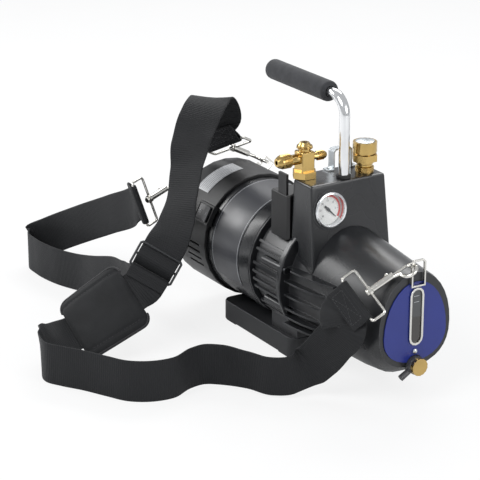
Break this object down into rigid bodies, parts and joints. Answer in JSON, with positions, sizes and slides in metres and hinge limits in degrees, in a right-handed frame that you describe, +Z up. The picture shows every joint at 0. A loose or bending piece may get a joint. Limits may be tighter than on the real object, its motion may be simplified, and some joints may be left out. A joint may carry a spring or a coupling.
{
  "type": "portable vacuum pump",
  "caption": "Portable rotary vane vacuum pump: electric motor, oil case with sight window, gauge box with brass fittings, bent carrying handle and shoulder strap with snap hooks.",
  "frame": {"origin": "on the floor under the middle of the base", "axes": "+X towards the oil case's front panel, +Z up, the strap lies on the -Y side"},
  "size_m": [0.6518, 0.4085, 0.3333],
  "materials": {
    "base_pad": "satin",
    "motor_shell": "satin",
    "rear_cover": "satin",
    "switch_rocker": "gloss",
    "cord_gland": "matte",
    "cast_grey": "as cast",
    "steel": "machined",
    "stator": "enamelled copper and laminations",
    "centre_housing": "satin",
    "cooling_fan": "matte",
    "vane": "matte",
    "oil_case": "satin",
    "case_gasket": "matte",
    "front_panel": "satin enamel",
    "clear": "clear",
    "bright": "polished",
    "drain_body": "matte",
    "brass": "machined",
    "gauge_box": "satin",
    "junction_box": "matte",
    "gauge_dial": "printed dial",
    "gauge_pointer": "matte",
    "handle_collar": "matte",
    "handle_grip": "foam",
    "top_bracket": "zinc plated",
    "webbing": "woven",
    "slider": "matte"
  },
  "bodies": {
    "pump": {"base_pad": "base_pad", "motor_shell": "motor_shell", "rear_cover": "rear_cover", "cord_gland": "cord_gland", "rear_bell": "cast_grey", "rear_bearing": "steel", "front_bearing": "steel", "stator": "stator", "centre_housing": "centre_housing", "pump_cylinder": "cast_grey", "pump_end_plate": "cast_grey", "oil_case": "oil_case", "case_gasket": "case_gasket", "flange_screw_1": "steel", "flange_screw_2": "steel", "flange_screw_3": "steel", "flange_screw_4": "steel", "front_panel": "front_panel", "sight_glass": "clear", "sight_frame": "bright", "panel_screw": "steel", "drain_body": "drain_body", "gauge_box": "gauge_box", "junction_box": "junction_box", "gauge_case": "bright", "gauge_dial": "gauge_dial", "gauge_lens": "clear", "intake_manifold": "brass", "ballast_body": "brass", "handle_collar": "handle_collar", "handle_rod": "bright", "handle_grip": "handle_grip", "top_bracket": "top_bracket", "front_strap_eye": "bright", "far_strap_eye": "bright", "near_strap_eye": "bright", "hook_ring_front": "bright", "hook_ring_far": "bright", "hook_ring_near": "bright", "strap_front": "webbing", "strap_rear": "webbing", "shoulder_pad": "webbing", "slider": "slider"},
    "shaft": {"motor_shaft": "steel", "rotor_core": "steel", "cooling_fan": "cooling_fan", "shaft_coupling": "cast_grey", "pump_rotor": "steel"},
    "near_vane": {"vane_near": "vane"},
    "far_vane": {"vane_far": "vane"},
    "switch": {"switch_rocker": "switch_rocker"},
    "pointer": {"gauge_pointer": "gauge_pointer"},
    "ballast": {"ballast_cap": "brass"},
    "drain": {"drain_cap": "brass"},
    "front_hook": {"hook_body_front": "bright"},
    "far_hook": {"hook_body_far": "bright"},
    "near_hook": {"hook_body_near": "bright"},
    "front_bolt": {"hook_bolt_front": "bright"},
    "far_bolt": {"hook_bolt_far": "bright"},
    "near_bolt": {"hook_bolt_near": "bright"}
  },
  "joints": [
    {"name": "shaft_spin", "type": "hinge", "parent": "pump", "child": "shaft", "pos_m": [0, 0, 0.101], "axis": [1, 0, 0], "continuous": true},
    {"name": "near_vane_slide", "type": "slide", "parent": "shaft", "child": "near_vane", "axis": [0, -1, 0], "range_m": [0, 0.0031]},
    {"name": "far_vane_slide", "type": "slide", "parent": "shaft", "child": "far_vane", "axis": [0, 1, 0], "range_m": [0, 0.0031]},
    {"name": "switch_rock", "type": "hinge", "parent": "pump", "child": "switch", "pos_m": [-0.0885, -0.07064, 0.13856], "axis": [0, 0.4695, 0.8829], "range_deg": [0, 14]},
    {"name": "pointer_turn", "type": "hinge", "parent": "pump", "child": "pointer", "pos_m": [0.11854, -0.027, 0.195], "axis": [0.9943, 0, 0.1071], "range_deg": [0, 270]},
    {"name": "ballast_turn", "type": "hinge", "parent": "pump", "child": "ballast", "pos_m": [0.1, 0.033, 0.226], "axis": [0, 0, 1], "range_deg": [0, 270]},
    {"name": "drain_turn", "type": "hinge", "parent": "pump", "child": "drain", "pos_m": [0.25, 0, 0.0465], "axis": [1, 0, 0], "range_deg": [0, 360]},
    {"name": "front_hook_swivel", "type": "hinge", "parent": "pump", "child": "front_hook", "pos_m": [0.23566, -0.05054, 0.14003], "axis": [0.173, 0.8551, 0.4888], "range_deg": [-4, 4]},
    {"name": "far_hook_swivel", "type": "hinge", "parent": "pump", "child": "far_hook", "pos_m": [-0.15054, 0.00783, 0.19338], "axis": [-0.2489, 0.8553, -0.4544], "range_deg": [-4, 4]},
    {"name": "near_hook_swivel", "type": "hinge", "parent": "pump", "child": "near_hook", "pos_m": [-0.14817, -0.11457, 0.14825], "axis": [-0.2931, 0.9346, 0.2016], "range_deg": [-4, 2]},
    {"name": "front_bolt_slide", "type": "slide", "parent": "front_hook", "child": "front_bolt", "axis": [0.173, 0.8551, 0.4888], "range_m": [-0.007, 0], "stiffness_N_per_m": 150},
    {"name": "far_bolt_slide", "type": "slide", "parent": "far_hook", "child": "far_bolt", "axis": [-0.2489, 0.8553, -0.4544], "range_m": [-0.007, 0], "stiffness_N_per_m": 150},
    {"name": "near_bolt_slide", "type": "slide", "parent": "near_hook", "child": "near_bolt", "axis": [-0.2931, 0.9346, 0.2016], "range_m": [-0.007, 0], "stiffness_N_per_m": 150}
  ]
}
